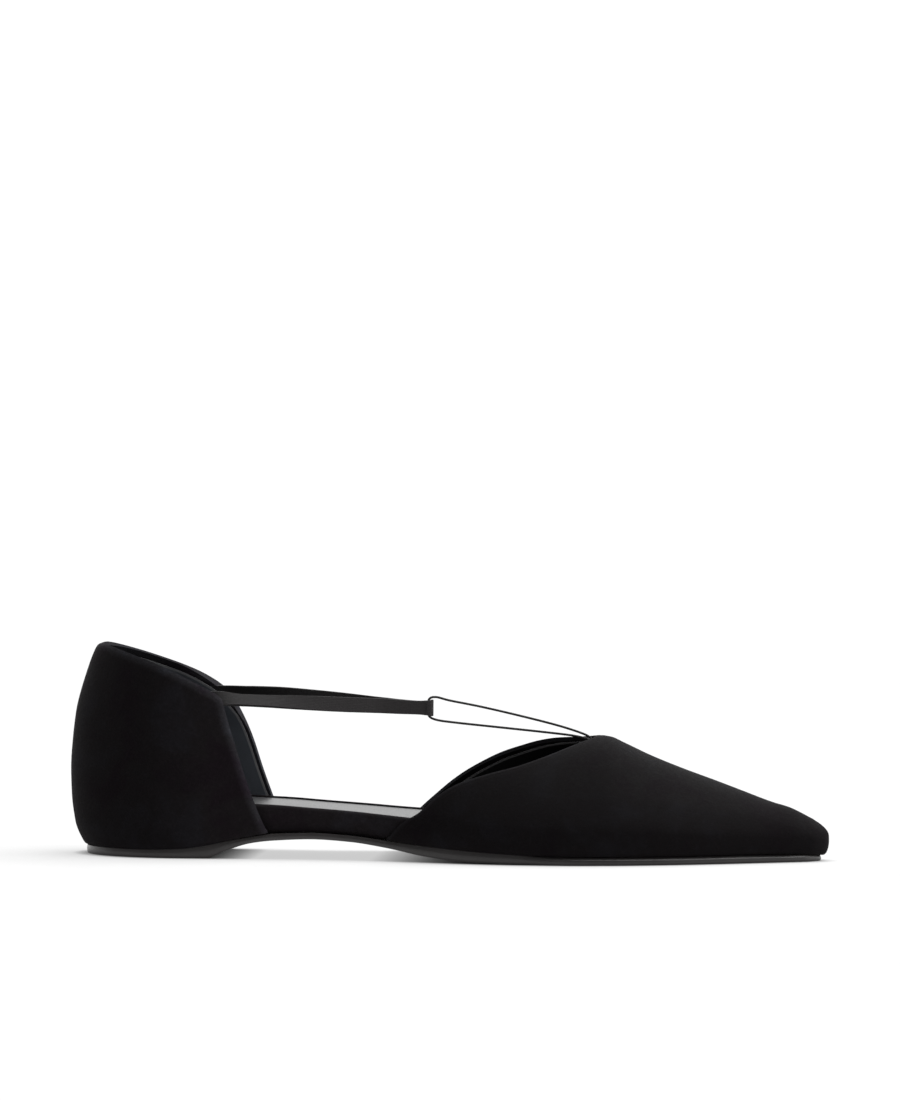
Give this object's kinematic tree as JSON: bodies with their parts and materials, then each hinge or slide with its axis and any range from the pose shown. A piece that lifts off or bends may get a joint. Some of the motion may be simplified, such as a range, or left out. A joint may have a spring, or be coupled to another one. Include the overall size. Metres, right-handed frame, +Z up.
{
  "type": "pointed toe flat shoe",
  "caption": "Low pointed toe shoe with open sides, a tall closed heel, and an elastic strap whose cord loop joins the point of the throat.",
  "frame": {"origin": "on the floor, under the middle of the shoe's length and width", "axes": "+X towards the toe, +Y towards the medial (inner) side, +Z up"},
  "size_m": [0.264, 0.0816, 0.0738],
  "materials": {
    "outsole": "satin dark grey-brown",
    "footbed_suede": "black suede",
    "sock_leather": "smooth satin black leather",
    "counter_suede": "black suede",
    "vamp_suede": "black suede",
    "elastic": "matte woven elastic",
    "cord": "matte cord"
  },
  "bodies": {
    "root": {"outsole": "outsole", "footbed": "footbed_suede", "insole_sock": "sock_leather", "counter": "counter_suede", "vamp": "vamp_suede", "elastic_strap": "elastic", "cord_loop": "cord"}
  },
  "joints": []
}
